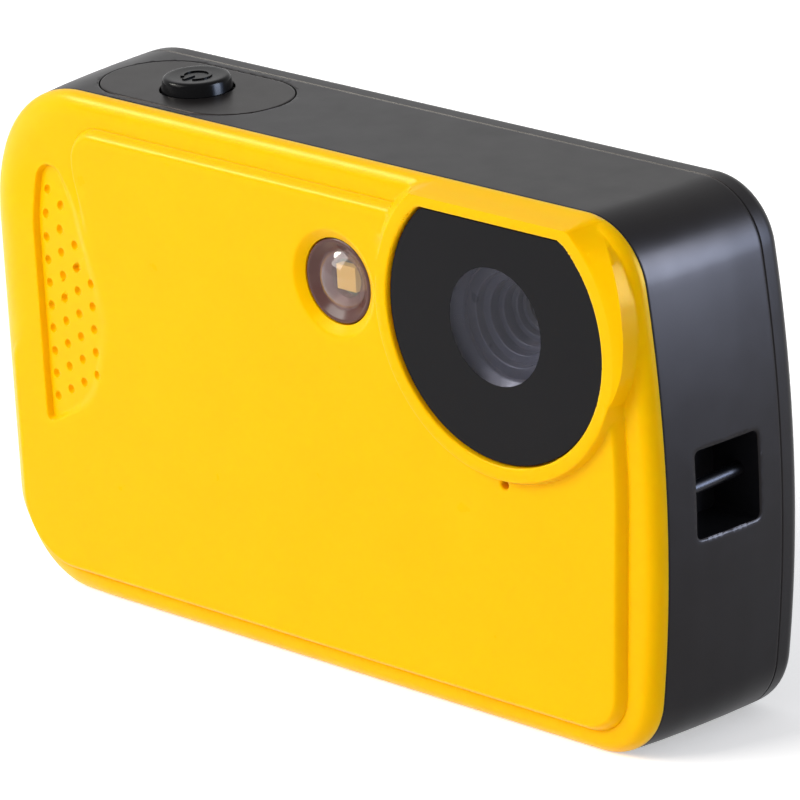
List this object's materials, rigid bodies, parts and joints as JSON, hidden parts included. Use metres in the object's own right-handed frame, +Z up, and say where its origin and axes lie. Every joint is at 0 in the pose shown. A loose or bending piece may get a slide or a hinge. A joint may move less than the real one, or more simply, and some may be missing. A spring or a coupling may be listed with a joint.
{
  "type": "compact waterproof digital camera",
  "caption": "Flat rounded-box camera with a bright raised front, a window disc cut level at the top, a lamp, a top shutter button, a strap slot and a side door.",
  "frame": {"origin": "middle of the flat bottom, halfway across the width and the depth", "axes": "+X to the right of someone who looks at the lens, +Y from front to back, +Z up"},
  "size_m": [0.1108, 0.026, 0.0666],
  "materials": {
    "shell_yellow": "satin moulded plastic",
    "body_black": "satin moulded plastic",
    "window_smoke": "polished smoked window, printed black behind with a clear circle",
    "optic_black": "matt moulded plastic",
    "baffle_grey": "matt moulded plastic",
    "lens_glass": "polished and coated",
    "lamp_black": "gloss",
    "lamp_clear": "clear moulded dome",
    "lamp_phosphor": "matt",
    "plate_black": "fine grained",
    "button_black": "gloss",
    "key_grey": "satin, with embossed signs",
    "rubber_black": "moulded",
    "rubber_grey": "moulded",
    "steel": "plain",
    "steel_black": "blackened",
    "nut_brass": "turned",
    "screen_glass": "polished pane with a black border",
    "screen_body": "gloss",
    "board_green": "solder resist",
    "chip_black": "moulded",
    "sensor_face": "gloss",
    "flex_amber": "film",
    "cell_jacket": "plain printed jacket",
    "frame_grey": "moulded"
  },
  "bodies": {
    "camera_body": {"front_shell": "shell_yellow", "mid_frame": "body_black", "rear_cover": "body_black", "front_seal": "rubber_black", "rear_seal": "rubber_black", "lens_window": "window_smoke", "light_baffle": "baffle_grey", "lens_barrel": "optic_black", "lens_elements": "lens_glass", "lens_holder": "optic_black", "ir_filter": "lens_glass", "image_sensor": "sensor_face", "lamp_holder": "lamp_black", "lamp_dome": "lamp_clear", "lamp_chip": "lamp_phosphor", "lamp_board": "board_green", "top_plate": "plate_black", "shutter_seal": "rubber_black", "shutter_spring": "steel", "shutter_switch": "steel", "switch_board": "board_green", "main_board": "board_green", "board_chips": "chip_black", "board_screws": "steel", "lcd_module": "screen_body", "lcd_carrier": "frame_grey", "lcd_flex": "flex_amber", "lcd_window": "screen_glass", "rocker_pin": "steel", "key_mat": "rubber_grey", "key_domes": "steel", "key_board": "board_green", "io_board": "board_green", "usb_socket": "steel", "card_socket": "steel", "memory_card": "chip_black", "battery_tray": "frame_grey", "lower_cell": "cell_jacket", "upper_cell": "cell_jacket", "battery_contacts": "steel", "door_pin": "steel", "strap_bar": "steel_black", "tripod_nut": "nut_brass", "case_screws": "steel_black", "speaker": "optic_black", "microphone": "steel"},
    "shutter_release": {"shutter_button": "button_black", "shutter_clip": "steel"},
    "zoom_control": {"zoom_rocker": "key_grey"},
    "side_door": {"battery_door": "body_black", "door_seal": "rubber_grey"},
    "door_slider": {"door_latch": "shell_yellow"},
    "power_key": {"power_button": "key_grey"},
    "playback_key": {"playback_button": "key_grey"},
    "menu_key": {"menu_button": "key_grey"},
    "up_key": {"up_button": "key_grey"},
    "down_key": {"down_button": "key_grey"},
    "left_key": {"left_button": "key_grey"},
    "right_key": {"right_button": "key_grey"},
    "ok_key": {"ok_button": "key_grey"}
  },
  "joints": [
    {"name": "shutter_press", "type": "slide", "parent": "camera_body", "child": "shutter_release", "axis": [0, 0, -1], "range_m": [0, 0.0008], "stiffness_N_per_m": 600, "springref_m": -0.0008, "deforming": ["shutter_spring"]},
    {"name": "power_press", "type": "slide", "parent": "camera_body", "child": "power_key", "axis": [0, -1, 0], "range_m": [0, 0.0005], "stiffness_N_per_m": 800, "springref_m": -0.0006},
    {"name": "playback_press", "type": "slide", "parent": "camera_body", "child": "playback_key", "axis": [0, -1, 0], "range_m": [0, 0.0005], "stiffness_N_per_m": 800, "springref_m": -0.0006},
    {"name": "menu_press", "type": "slide", "parent": "camera_body", "child": "menu_key", "axis": [0, -1, 0], "range_m": [0, 0.0005], "stiffness_N_per_m": 800, "springref_m": -0.0006},
    {"name": "up_press", "type": "slide", "parent": "camera_body", "child": "up_key", "axis": [0, -1, 0], "range_m": [0, 0.0005], "stiffness_N_per_m": 800, "springref_m": -0.0006},
    {"name": "down_press", "type": "slide", "parent": "camera_body", "child": "down_key", "axis": [0, -1, 0], "range_m": [0, 0.0005], "stiffness_N_per_m": 800, "springref_m": -0.0006},
    {"name": "left_press", "type": "slide", "parent": "camera_body", "child": "left_key", "axis": [0, -1, 0], "range_m": [0, 0.0005], "stiffness_N_per_m": 800, "springref_m": -0.0006},
    {"name": "right_press", "type": "slide", "parent": "camera_body", "child": "right_key", "axis": [0, -1, 0], "range_m": [0, 0.0005], "stiffness_N_per_m": 800, "springref_m": -0.0006},
    {"name": "ok_press", "type": "slide", "parent": "camera_body", "child": "ok_key", "axis": [0, -1, 0], "range_m": [0, 0.0005], "stiffness_N_per_m": 800, "springref_m": -0.0006},
    {"name": "zoom_rock", "type": "hinge", "parent": "camera_body", "child": "zoom_control", "pos_m": [-0.034, 0.0091, 0.0543], "axis": [0, 0, 1], "range_deg": [-5, 5], "stiffness_Nm_per_rad": 0.04},
    {"name": "door_swing", "type": "hinge", "parent": "camera_body", "child": "side_door", "pos_m": [-0.0526, 0, 0.0092], "axis": [0, -1, 0], "range_deg": [0, 95]},
    {"name": "latch_slide", "type": "slide", "parent": "side_door", "child": "door_slider", "axis": [0, 0, 1], "range_m": [0, 0.002]}
  ]
}
